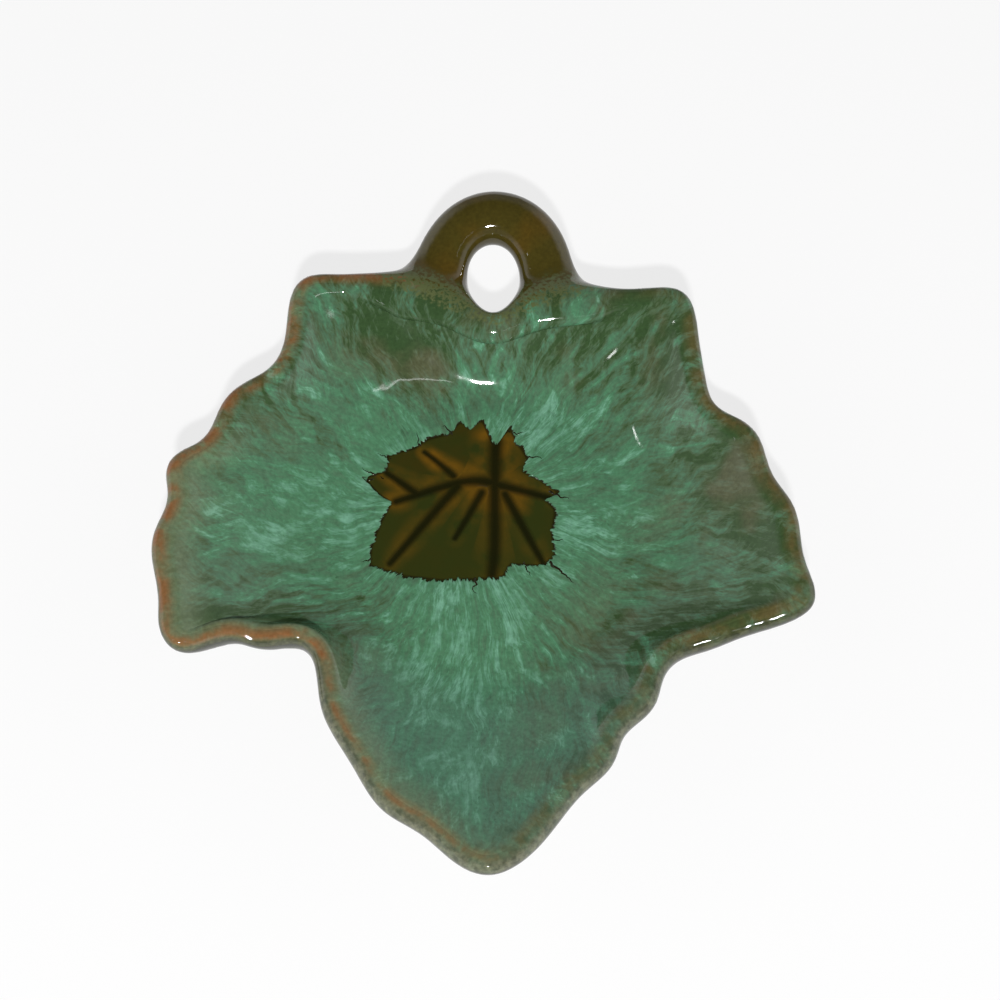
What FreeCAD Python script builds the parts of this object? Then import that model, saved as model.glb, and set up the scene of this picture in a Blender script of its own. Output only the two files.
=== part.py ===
import FreeCAD, Part
import Sketcher
import math
import os

# A leaf-shaped glazed dish with a finger loop at its stem end, in millimetres, +Z up.
# The origin is the centre of the foot ring, on the table. The leaf's tip points to -Y and its stem to +Y.

# Driving sizes
SIZES = {
    "leaf_width": 151.0,
    "leaf_length": 148.5,
    "leaf_shift": 3.3,
    "rim_height": 23.0,
    "rim_lift": 20.0,
    "wall": 4.6,
    "lip_crown": 1.2,
    "lip_band": 6.5,
    "lip_swell": 0.8,
    "floor_half_width": 32.0,
    "floor_half_length": 35.5,
    "floor_shift": 2.5,
    "foot_inset": 2.0,
    "foot_width": 4.5,
    "foot_height": 2.4,
    "foot_round": 0.8,
    "drip_thickness": 0.6,
    "drip_edge": 0.2,
    "drip_roll": 1.2,
    "pool_thickness": 0.4,
    "vein_half_width": 1.0,
    "vein_depth": 0.7,
    "hole_width": 14.2,
    "hole_length": 19.5,
    "loop_width": 13.4,
    "loop_thickness": 9.2,
    "loop_rise": 7.0,
    "loop_sink": 0.3,
    "loop_root": 12.0,
    "loop_shift": 0.7,
}

# The leaf's edge, walked anticlockwise from the stem notch, as shares of half the leaf's width and length.
STEM_NOTCH_SHARES = [(0.00, 0.705), (-0.09, 0.735), (-0.17, 0.78), (-0.30, 0.812), (-0.53, 0.817)]
LEFT_BACK_SHARES = [(-0.60, 0.797), (-0.632, 0.74), (-0.647, 0.605), (-0.695, 0.49), (-0.765, 0.437)]
LEFT_SCALLOP_SHARES = [(-0.832, 0.365), (-0.86, 0.285), (-0.90, 0.215), (-0.954, 0.178), (-0.994, 0.12)]
LEFT_LOBE_SHARES = [(-0.983, 0.035), (-1.02, -0.12), (-0.99, -0.33), (-0.975, -0.445), (-0.93, -0.495)]
LEFT_NOTCH_SHARES = [(-0.765, -0.438), (-0.69, -0.458), (-0.615, -0.436), (-0.562, -0.439), (-0.52, -0.518)]
FRONT_LEFT_SHARES = [(-0.497, -0.656), (-0.40, -0.842), (-0.293, -1.003), (-0.205, -1.058), (-0.066, -1.18)]
FRONT_TIP_SHARES = [(0.00, -1.20), (0.07, -1.173), (0.222, -0.995), (0.275, -0.928), (0.335, -0.872)]
FRONT_RIGHT_SHARES = [(0.372, -0.815), (0.391, -0.748), (0.438, -0.698), (0.488, -0.648), (0.524, -0.535)]
RIGHT_NOTCH_SHARES = [(0.575, -0.48), (0.66, -0.458), (0.75, -0.426), (0.92, -0.38)]
RIGHT_LOBE_SHARES = [(0.973, -0.34), (0.972, -0.27), (0.95, -0.18), (0.943, -0.08), (0.925, 0.01)]
RIGHT_SCALLOP_SHARES = [(0.88, 0.09), (0.855, 0.17), (0.833, 0.25), (0.777, 0.312), (0.71, 0.36)]
RIGHT_BACK_SHARES = [(0.678, 0.46), (0.657, 0.62), (0.642, 0.71), (0.612, 0.757), (0.55, 0.772)]
BACK_EDGE_SHARES = [(0.33, 0.767), (0.20, 0.752), (0.09, 0.722)]
EDGE_SHARES = (
    STEM_NOTCH_SHARES + LEFT_BACK_SHARES + LEFT_SCALLOP_SHARES + LEFT_LOBE_SHARES + LEFT_NOTCH_SHARES
    + FRONT_LEFT_SHARES + FRONT_TIP_SHARES + FRONT_RIGHT_SHARES + RIGHT_NOTCH_SHARES
    + RIGHT_LOBE_SHARES + RIGHT_SCALLOP_SHARES + RIGHT_BACK_SHARES + BACK_EDGE_SHARES
)

# The pool of brown glaze at the leaf's centre, as shares of the floor's half width and half length.
POOL_SHARES = [
    (-0.05, 0.86), (-0.40, 0.78), (-0.74, 0.60), (-0.84, 0.42), (-0.76, 0.25), (-0.86, -0.10),
    (-0.66, -0.24), (-0.20, -0.27), (0.20, -0.22), (0.46, -0.14), (0.49, 0.18), (0.46, 0.38), (0.26, 0.68),
]

# The impressed veins: share of the full vein size, then places from the root out, as shares of the floor's
# half sizes.
VEIN_SHARES = {
    "midrib": (1.0, [(0.03, 0.74), (0.03, -0.20)]),
    "left_lateral": (0.92, [(0.02, 0.46), (-0.30, 0.445), (-0.70, 0.30)]),
    "left_fork": (0.70, [(-0.53, 0.35), (-0.75, 0.52)]),
    "right_lateral": (0.88, [(0.04, 0.45), (0.43, 0.33)]),
    "left_long": (0.80, [(-0.23, 0.43), (-0.73, -0.12)]),
    "left_short": (0.66, [(-0.05, 0.37), (-0.27, 0.04)]),
    "right_long": (0.72, [(0.12, 0.36), (0.40, -0.13)]),
    "upper_left": (0.60, [(-0.26, 0.50), (-0.48, 0.67)]),
}
VEIN_RUN_OUT_SHARE = 0.3

# The wall's inside, from the floor's edge to the lip: share of the way out, and share of the climb.
WALL_SHARES = [(0.16, 0.06), (0.38, 0.24), (0.60, 0.47), (0.80, 0.71), (0.95, 0.91)]
LIP_INSIDE_SHARE = 0.97
# Rows of the skin, counted from the pool, that the poured coat runs over.
DRIP_ROW_COUNT = 7

# Columns round the leaf, and smoothing passes for its wall and its lip
COLUMN_COUNT = 132
WALL_SMOOTHING_COUNT = 24
LIP_SMOOTHING_COUNT = 2

# The loop's sections from right to left: angle round its arch in degrees, and share of its width.
ARCH_SHARES = [(0, 1.0), (30, 1.05), (60, 1.05), (90, 1.0), (120, 0.97), (150, 0.96), (180, 1.12)]
# Its sections at each root: shares of the root's length, of its width, and of its width moved outward.
RIGHT_ROOT_SHARES = [(0.33, 1.30, 0.05), (0.66, 1.70, 0.09), (1.0, 1.90, 0.12)]
LEFT_ROOT_SHARES = [(0.33, 1.70, 0.26), (0.66, 2.15, 0.32), (1.0, 2.30, 0.34)]
HOLE_WIDEST_SHARE = 0.52
LOOP_POINT_COUNT = 12
# Turns of the loop's two roots, in degrees
RIGHT_ROOT_TURN = 90
LEFT_ROOT_TURN = 270

UP = FreeCAD.Vector(0, 0, 1)

doc = FreeCAD.newDocument("leaf_dish")
sheet = doc.addObject("Spreadsheet::Sheet", "sizes")
for line, (alias, value) in enumerate(SIZES.items(), start=1):
    sheet.set(f"A{line}", alias)
    sheet.set(f"B{line}", str(value))
    sheet.setAlias(f"B{line}", alias)
doc.recompute()


def size(alias):
    return float(getattr(sheet, alias))


def plan(x, y, z=0.0):
    return FreeCAD.Vector(x, y, z)


def at_height(ring, z):
    return [plan(p.x, p.y, z) for p in ring]


def mixed(ring_a, ring_b, share):
    return [a + (b - a) * share for a, b in zip(ring_a, ring_b)]


def smoothed(ring, passes):
    for _ in range(passes):
        ring = [(ring[i - 1] + p * 2 + ring[(i + 1) % len(ring)]) / 4 for i, p in enumerate(ring)]
    return ring


def sharpened(ring):
    # Poles that pull a cubic spline back out to the points of the ring.
    around = [(ring[i - 1] + ring[(i + 1) % len(ring)]) / 2 for i in range(len(ring))]
    return [p + (p - a) / 3 for p, a in zip(ring, around)]


def closed_curve(points):
    curve = Part.BSplineCurve()
    curve.interpolate(points, PeriodicFlag=True)
    return curve


def outward(ring):
    # Level normals of an anticlockwise ring.
    normals = []
    for i in range(len(ring)):
        along = ring[(i + 1) % len(ring)] - ring[i - 1]
        normals.append(plan(along.y, -along.x).normalize())
    return normals


def direction(point, centre):
    return math.atan2(point.y - centre.y, point.x - centre.x)


# Rings of points that the leaf's skin runs through, one point for each column


def edge_ring():
    curve = closed_curve([plan(x, y) for x, y in EDGE_SHARES])
    box = curve.toShape().BoundBox
    wide, long = size("leaf_width") / box.XLength, size("leaf_length") / box.YLength
    ring = closed_curve([plan(x * wide, y * long + size("leaf_shift")) for x, y in EDGE_SHARES])
    return ring.discretize(Number=COLUMN_COUNT + 1)[:-1]


def rim_heights(edge):
    # The rim climbs where the leaf reaches further out.
    reach = [p.Length for p in edge]
    mean = sum(reach) / len(reach)
    return [size("rim_height") + size("rim_lift") * (r / mean - 1) for r in reach]


def floor_ring(edge):
    centre = plan(0, size("floor_shift"))
    angles = [direction(p, centre) for p in smoothed(edge, WALL_SMOOTHING_COUNT)]
    half_width, half_length = size("floor_half_width"), size("floor_half_length")
    return [centre + plan(half_width * math.cos(a), half_length * math.sin(a)) for a in angles]


def pool_ring(floor):
    # The pool's edge, met along the straight line from its middle to each point of the floor's edge.
    points = [floor_place(shares) for shares in POOL_SHARES]
    middle = sum(points, plan(0, 0)) / len(points)
    edge = closed_curve(points).toShape()
    ring = []
    for p in floor:
        ray = Part.makeLine(middle, middle + (p - middle) * 2)
        ring.append(edge.distToShape(ray)[1][0][0])
    return ring


def floor_place(shares, z=0.0):
    x_share, y_share = shares
    return plan(x_share * size("floor_half_width"), y_share * size("floor_half_length"), z)


# The leaf's skin


def inside_rows(edge, heights, lip_inside):
    # From the pool's edge, over the flat floor and up the wall to just under the lip.
    floor_z = size("foot_height") + size("wall")
    floor = at_height(floor_ring(edge), floor_z)
    pool = at_height(pool_ring(at_height(floor, 0.0)), floor_z)
    roll = [p + (f - p).normalize() * size("drip_roll") for p, f in zip(pool, floor)]
    rows = [pool, roll, mixed(roll, floor, 0.5), floor]
    soft = smoothed(lip_inside, WALL_SMOOTHING_COUNT)
    for out_share, climb_share in WALL_SHARES:
        target = mixed(soft, lip_inside, out_share**2)
        level = mixed(at_height(floor, 0.0), target, out_share)
        rows.append([plan(p.x, p.y, floor_z + (h - floor_z) * climb_share) for p, h in zip(level, heights)])
    rows.append(
        [plan(p.x, p.y, floor_z + (h - floor_z) * LIP_INSIDE_SHARE) for p, h in zip(lip_inside, heights)]
    )
    return rows


def outside_rows(inside, edge, heights):
    # From the lip's top over its upright band and down the wall, one wall thickness outside the inside rows.
    lip_top = mixed(edge, inside[-1], 0.5)
    crown = [plan(p.x, p.y, h + size("lip_crown")) for p, h in zip(lip_top, heights)]
    swell = [p + n * size("lip_swell") for p, n in zip(sharpened(edge), outward(edge))]
    brow = [plan(p.x, p.y, h) for p, h in zip(swell, heights)]
    band = [plan(p.x, p.y, h - size("lip_band")) for p, h in zip(edge, heights)]
    rows = [crown, brow, band]
    first_wall_row = len(inside) - 1 - len(WALL_SHARES)
    for i in range(len(inside) - 3, first_wall_row - 1, -1):
        rows.append(pushed_out(inside, i, size("wall")))
    base = at_height(inside[first_wall_row - 1], size("foot_height"))
    rows.append(mixed(base, at_height(rows[-1], size("foot_height")), 0.5))
    rows.append(base)
    return rows


def pushed_out(rows, i, distance):
    # Row i of a net, moved square to the surface, away from the leaf's hollow.
    ring, below, above = rows[i], rows[max(i - 1, 0)], rows[min(i + 1, len(rows) - 1)]
    moved = []
    for j, p in enumerate(ring):
        round_leaf = ring[(j + 1) % len(ring)] - ring[j - 1]
        moved.append(p + round_leaf.cross(above[j] - below[j]).normalize() * distance)
    return moved


def skin(rows):
    # A cubic surface over the rings: closed round the leaf, ending at its first and last rows.
    surface = Part.BSplineSurface()
    columns = [list(column) for column in zip(*rows)]
    round_knots = list(range(len(columns) + 1))
    up_knots = list(range(len(rows) - 2))
    surface.buildFromPolesMultsKnots(
        columns,
        [1] * len(round_knots),
        [4] + [1] * (len(up_knots) - 2) + [4],
        round_knots,
        up_knots,
        True,
        False,
        3,
        3,
    )
    return surface


def solid_of(faces):
    shell = Part.makeShell(faces)
    shell.sewShape()
    solid = Part.makeSolid(shell)
    if solid.Volume < 0:
        solid.reverse()
    return solid


def flat_ends(face):
    return [Part.Face(Part.Wire([e])) for e in face.Edges if e.isClosed()]


def feature(label, shape):
    made = doc.addObject("Part::Feature", label)
    made.Label = label
    made.Shape = shape
    return made


def boolean(kind, label, base, tool):
    made = doc.addObject(kind, label)
    made.Label = label
    made.Base = base
    made.Tool = tool
    return made


edge = edge_ring()
heights = rim_heights(edge)
lip_inside = [p - n * size("wall") for p, n in zip(edge, outward(smoothed(edge, LIP_SMOOTHING_COUNT)))]
inside = inside_rows(edge, heights, lip_inside)
outside = outside_rows(inside, edge, heights)


# Leaf bowl: the cast clay shell, with the veins pressed into its floor


def vein_tools(label, floor_z):
    # Round tools lying in the floor, each rising out of it at the vein's tip.
    # At a bend one starts inside the last.
    radius = (size("vein_half_width") ** 2 + size("vein_depth") ** 2) / (2 * size("vein_depth"))
    rounding = "(sizes.vein_half_width^2 + sizes.vein_depth^2) / (2 * sizes.vein_depth)"
    tools = []
    for name, (size_share, places) in VEIN_SHARES.items():
        points = [floor_place(shares) for shares in places]
        lengths = [(b - a).Length for a, b in zip(points, points[1:])]
        left_shares = [1 - sum(lengths[:i]) / sum(lengths) for i in range(len(points))]
        depths = [size("vein_depth") * size_share * left for left in left_shares]
        joints = [plan(p.x, p.y, floor_z + radius * size_share - d) for p, d in zip(points, depths)]
        for i in range(len(lengths)):
            along = joints[i + 1] - joints[i]
            past_share = VEIN_RUN_OUT_SHARE if i == len(lengths) - 1 else 0.0
            gouge = doc.addObject("Part::Cylinder", f"{label}_{name}_{i}")
            gouge.setExpression("Radius", f"{rounding} * {size_share}")
            back = size("vein_half_width") * size_share / 2
            gouge.Height = along.Length * (1 + past_share) + back
            start = joints[i] - FreeCAD.Vector(along).normalize() * back
            gouge.Placement = FreeCAD.Placement(start, FreeCAD.Rotation(UP, along))
            tools.append(gouge)
    made = doc.addObject("Part::MultiFuse", label)
    made.Shapes = tools
    return made


def leaf_bowl():
    face = skin(inside + outside).toShape()
    casting = feature("leaf_casting", solid_of([face] + flat_ends(face)))
    veins = vein_tools("floor_veins", size("foot_height") + size("wall"))
    return boolean("Part::Cut", "leaf_bowl", casting, veins)


# Loop handle: an arch of round sections, seated on the stem notch of the bowl


def arch_places():
    # Centre, turn in degrees and width share of each section, from the right root to the left one.
    half_span = (size("hole_width") + size("loop_width")) / 2
    notch, notch_height = min(
        ((p, h) for p, h in zip(edge, heights) if p.y > 0), key=lambda pair: abs(pair[0].x)
    )
    arch_y = notch.y + size("hole_length") * HOLE_WIDEST_SHARE
    arch_length = notch.y + size("hole_length") + size("loop_width") / 2 - arch_y
    low_z = notch_height - size("loop_sink") - size("loop_thickness") / 2

    def root_place(side, root_share, out_share):
        out = half_span + size("loop_width") * out_share
        return plan(side * out, arch_y - size("loop_root") * root_share, low_z)

    right_root = reversed(RIGHT_ROOT_SHARES)
    places = [(root_place(1, root, out), RIGHT_ROOT_TURN, wide) for root, wide, out in right_root]
    for degrees, width_share in ARCH_SHARES:
        a = math.radians(degrees)
        centre = plan(half_span * math.cos(a), arch_y + arch_length * math.sin(a))
        turn = math.degrees(math.atan2(arch_length * math.cos(a), -half_span * math.sin(a)))
        places.append((centre + UP * (low_z + size("loop_rise") * math.sin(a)), turn, width_share))
    places += [(root_place(-1, root, out), LEFT_ROOT_TURN, wide) for root, wide, out in LEFT_ROOT_SHARES]
    shift = plan(size("loop_shift"), 0)
    return [(p + shift, turn, width_share) for p, turn, width_share in places]


def loop_ring(centre, turn, width_share):
    # One oval section of the loop, standing across its travel, counted from its underside.
    a = math.radians(turn)
    across = plan(-math.sin(a), math.cos(a)) * (size("loop_width") / 2 * width_share)
    down = UP * (-size("loop_thickness") / 2)
    turns = [2 * math.pi * i / LOOP_POINT_COUNT for i in range(LOOP_POINT_COUNT)]
    return sharpened([centre + down * math.cos(b) + across * math.sin(b) for b in turns])


def loop_handle(casting):
    # The arch runs through the wall on both sides, and what is left outside the leaf is the loop.
    arch_face = skin([loop_ring(*place) for place in arch_places()]).toShape()
    arch = feature("loop_arch", solid_of([arch_face] + flat_ends(arch_face)))
    seated = boolean("Part::Cut", "seated_arch", arch, casting)
    doc.recompute()
    return feature("loop_handle", max(seated.Shape.Solids, key=lambda s: s.CenterOfMass.y))


# Foot ring: the dry ring that the dish stands on


def foot_ring():
    body = doc.addObject("PartDesign::Body", "foot_ring")
    body.Label = "foot_ring"
    upright = next(f for f in body.Origin.OriginFeatures if f.Role == "XZ_Plane")
    sketch = body.newObject("Sketcher::SketchObject", "foot_profile")
    sketch.AttachmentSupport = [(upright, "")]
    sketch.MapMode = "FlatFace"
    outer = size("floor_half_width") - size("foot_inset")
    inner, high = outer - size("foot_width"), size("foot_height")
    corners = [plan(inner, 0), plan(outer, 0), plan(outer, high), plan(inner, high)]
    for i in range(4):
        sketch.addGeometry(Part.LineSegment(corners[i], corners[(i + 1) % 4]))
    for i in range(4):
        sketch.addConstraint(Sketcher.Constraint("Coincident", i, 2, (i + 1) % 4, 1))
    for kind, line in [("Horizontal", 0), ("Vertical", 1), ("Horizontal", 2), ("Vertical", 3)]:
        sketch.addConstraint(Sketcher.Constraint(kind, line))
    sketch.addConstraint(Sketcher.Constraint("PointOnObject", 0, 1, -1))
    driven = [
        (Sketcher.Constraint("DistanceX", -1, 1, 0, 2, outer), "sizes.floor_half_width - sizes.foot_inset"),
        (Sketcher.Constraint("DistanceX", 0, 1, 0, 2, outer - inner), "sizes.foot_width"),
        (Sketcher.Constraint("DistanceY", 1, 1, 1, 2, high), "sizes.foot_height"),
    ]
    for constraint, expression in driven:
        number = sketch.addConstraint(constraint)
        sketch.setExpression(f"Constraints[{number}]", expression)
    turned = body.newObject("PartDesign::Revolution", "foot_turned")
    turned.Profile = sketch
    turned.ReferenceAxis = (sketch, ["V_Axis"])
    turned.Angle = 360
    doc.recompute()
    standing = [
        f"Edge{i}"
        for i, e in enumerate(turned.Shape.Edges, start=1)
        if e.isClosed() and e.BoundBox.ZMax < high / 2
    ]
    rounded = body.newObject("PartDesign::Fillet", "foot_rounded")
    rounded.Base = (turned, standing)
    rounded.setExpression("Radius", "sizes.foot_round")
    body.Tip = rounded
    return body


# Drip glaze: the poured coat, thin at the pool's edge and just under the lip


def drip_glaze():
    wall = skin(inside + outside)
    wall.insertVKnot(DRIP_ROW_COUNT, 3, 0.0)
    rows = [list(row) for row in zip(*wall.getPoles())][: DRIP_ROW_COUNT + 3]
    coat = []
    for i in range(len(rows)):
        at_edge = i in (0, len(rows) - 1)
        coat.append(pushed_out(rows, i, -size("drip_edge" if at_edge else "drip_thickness")))
    under, over = skin(rows).toShape(), skin(coat).toShape()
    low_ends = [e for e in under.Edges if e.isClosed()]
    high_ends = [e for e in over.Edges if e.isClosed()]
    sides = [Part.makeRuledSurface(low, high) for low, high in zip(low_ends, high_ends)]
    return feature("drip_glaze", solid_of([under, over] + sides))


# Pool glaze: the brown glaze that lies over the veins at the leaf's centre


def pool_layer(label, outline, length, forward):
    layer = doc.addObject("Part::Extrusion", label)
    layer.Base = outline
    layer.DirMode = "Custom"
    layer.Dir = UP
    layer.Solid = True
    layer.setExpression("LengthFwd", length if forward else "0")
    layer.setExpression("LengthRev", "0" if forward else length)
    return layer


def pool_glaze(veins):
    floor_z = size("foot_height") + size("wall")
    ends = [e for e in skin(inside).toShape().Edges if e.isClosed()]
    outline = feature("pool_outline", Part.Face(Part.Wire([min(ends, key=lambda e: e.Length)])))
    film = pool_layer("pool_film", outline, "sizes.pool_thickness", True)
    bed = pool_layer("pool_bed", outline, "sizes.wall", False)
    filled = boolean("Part::Common", "filled_veins", bed, veins)
    poured = boolean("Part::Fuse", "poured_pool", film, filled)
    pressed = vein_tools("pool_veins", floor_z + size("pool_thickness"))
    return boolean("Part::Cut", "pool_glaze", poured, pressed)


bowl = leaf_bowl()
pieces = [bowl, loop_handle(bowl.Base), foot_ring(), drip_glaze(), pool_glaze(bowl.Tool)]
doc.recompute()

for made in doc.Objects:
    if "Invalid" in made.State or "Error" in made.State:
        raise RuntimeError(f"{made.Label} failed: {made.State}")
os.makedirs("parts", exist_ok=True)
for piece in pieces:
    if piece.Shape.isNull() or not piece.Shape.isValid():
        raise RuntimeError(f"{piece.Label} has no valid shape")
for piece in pieces:
    piece.Shape.exportStep(f"parts/{piece.Label}.step")
    print(piece.Label, len(piece.Shape.Solids), "solids", round(piece.Shape.Volume), "mm3")
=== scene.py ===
import math
from functools import partial

import bpy
import numpy as np
import openvdb as vdb
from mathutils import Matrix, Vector


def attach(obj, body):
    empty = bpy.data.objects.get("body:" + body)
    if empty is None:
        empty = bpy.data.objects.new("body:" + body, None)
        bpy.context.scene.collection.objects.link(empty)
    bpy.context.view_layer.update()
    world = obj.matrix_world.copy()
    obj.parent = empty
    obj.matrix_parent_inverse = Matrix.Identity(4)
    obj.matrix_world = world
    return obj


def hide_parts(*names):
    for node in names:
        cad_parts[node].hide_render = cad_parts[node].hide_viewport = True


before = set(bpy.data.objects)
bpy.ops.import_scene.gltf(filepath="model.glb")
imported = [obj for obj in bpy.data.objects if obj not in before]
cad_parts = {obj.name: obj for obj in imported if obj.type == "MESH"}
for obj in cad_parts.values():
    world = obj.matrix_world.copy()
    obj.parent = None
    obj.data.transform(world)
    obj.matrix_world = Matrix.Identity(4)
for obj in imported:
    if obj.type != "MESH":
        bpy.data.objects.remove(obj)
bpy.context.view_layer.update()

mm = 0.001


# small helpers

def linearColour(hexText):
    parts = [int(hexText[i:i + 2], 16) / 255 for i in (1, 3, 5)]
    return tuple(c / 12.92 if c <= 0.04045 else ((c + 0.055) / 1.055) ** 2.4 for c in parts) + (1.0,)


def addNode(tree, kind, inputs=(), **settings):
    # shader nodes go by their short names; inputs come in order or by key, and may be nodes or hex colours
    node = tree.nodes.new(kind if "Node" in kind else "ShaderNode" + kind)
    for name, value in settings.items():
        setattr(node, name, value)
    for key, value in inputs.items() if isinstance(inputs, dict) else enumerate(inputs):
        if isinstance(value, bpy.types.Node):
            value = next(socket for socket in value.outputs if socket.enabled)
        elif str(value).startswith("#"):
            value = linearColour(value)
        if isinstance(value, bpy.types.NodeSocket):
            tree.links.new(value, node.inputs[key])
        else:
            node.inputs[key].default_value = value
    return node


def newObject(name, data):
    made = bpy.data.objects.new(name, data)
    bpy.context.scene.collection.objects.link(made)
    return made


def meshObject(name, points, faces, attributes=None):
    # points in millimetres; attributes are floats or vectors, one for each point
    mesh = bpy.data.meshes.new(name)
    mesh.from_pydata((np.asarray(points) * mm).tolist(), [], [list(map(int, f)) for f in faces])
    mesh.update()
    mesh.shade_smooth()
    made = newObject(name, mesh)
    storeValues(made, attributes or {})
    return made


def storeValues(made, attributes):
    for key, values in attributes.items():
        values = np.asarray(values, np.float32)
        kind, slot = ("FLOAT_VECTOR", "vector") if values.ndim == 2 else ("FLOAT", "value")
        made.data.attributes.new(key, kind, "POINT").data.foreach_set(slot, values.ravel())


def curveObject(name, paths, height):
    # smooth paths at one height; each has a size at its root and tapers to its tip
    curve = bpy.data.curves.new(name, "CURVE")
    curve.dimensions = "3D"
    for size, tip, places in paths:
        spline = curve.splines.new("NURBS")
        spline.points.add(len(places) - 1)
        for i, (x, y) in enumerate(places):
            spline.points[i].co = (x * mm, y * mm, height * mm, 1)
            spline.points[i].radius = size * (1 - (1 - tip) * i / (len(places) - 1))
        spline.order_u = min(3, len(places))
        spline.use_endpoint_u = True
        spline.resolution_u = 12
    return newObject(name, curve)


def newTree(name, sockets):
    tree = bpy.data.node_groups.new(name, "GeometryNodeTree")
    for label, kind in [("Geometry", "Geometry"), ("Material", "Material")] + sockets:
        tree.interface.new_socket(label, in_out="INPUT", socket_type="NodeSocket" + kind)
    tree.interface.new_socket("Geometry", in_out="OUTPUT", socket_type="NodeSocketGeometry")
    node = partial(addNode, tree)
    return tree, node, node("NodeGroupInput").outputs


def endTree(tree, given, geometry):
    real = addNode(tree, "GeometryNodeRealizeInstances", {"Geometry": geometry})
    dressed = addNode(tree, "GeometryNodeSetMaterial", {"Geometry": real, "Material": given["Material"]})
    addNode(tree, "NodeGroupOutput", {"Geometry": dressed})
    return tree


def runTree(made, tree, values):
    # the tree's result becomes the piece's plain mesh
    modifier = made.modifiers.new(tree.name, "NODES")
    modifier.node_group = tree
    sockets = {item.name: item.identifier for item in tree.interface.items_tree if item.in_out == "INPUT"}
    for name, value in values.items():
        modifier[sockets[name]] = value
    bpy.context.view_layer.update()
    graph = bpy.context.evaluated_depsgraph_get()
    mesh = bpy.data.meshes.new_from_object(
        made.evaluated_get(graph), preserve_all_data_layers=True, depsgraph=graph)
    made.modifiers.remove(modifier)
    old, made.data = made.data, mesh
    bpy.data.meshes.remove(old)
    mesh.name = made.name


def gridFaces(columns, rows):
    # quads of a sheet that closes on itself round its columns, points counted column by column
    c, r = np.meshgrid(np.arange(columns), np.arange(rows - 1), indexing="ij")
    n = (c + 1) % columns
    return np.stack([c * rows + r, n * rows + r, n * rows + r + 1, c * rows + r + 1], -1).reshape(-1, 4)


def closedSheet(sheet):
    # points and faces of a sheet with both of its ends capped
    columns, count = sheet.shape[:2]
    points = np.vstack([sheet.reshape(-1, 3), sheet[:, 0].mean(0)[None], sheet[:, -1].mean(0)[None]])
    faces = [list(f) for f in gridFaces(columns, count)]
    for c in range(columns):
        n = (c + 1) % columns
        faces.append([n * count, c * count, columns * count])
        faces.append([c * count + count - 1, n * count + count - 1, columns * count + 1])
    return points, faces


def smoothStep(low, high, value):
    t = np.clip((value - low) / (high - low), 0, 1)
    return t * t * (3 - 2 * t)


def unit(v):
    return v / np.linalg.norm(v, axis=-1, keepdims=True)


def runOf(line):
    # distance along a line of points, or along each of several
    steps = np.linalg.norm(np.diff(line, axis=-2), axis=-1)
    return np.concatenate([np.zeros(steps.shape[:-1] + (1,)), np.cumsum(steps, -1)], -1)


def placesAt(at, run, line):
    return np.stack([np.interp(at, run, column) for column in line.T], 1)


def polar(away):
    # direction and distance in plan
    return np.arctan2(away[:, 1], away[:, 0]), np.hypot(away[:, 0], away[:, 1])


def roundWay(angles):
    return np.stack([np.cos(angles), np.sin(angles)], 1)


# finishes

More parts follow.
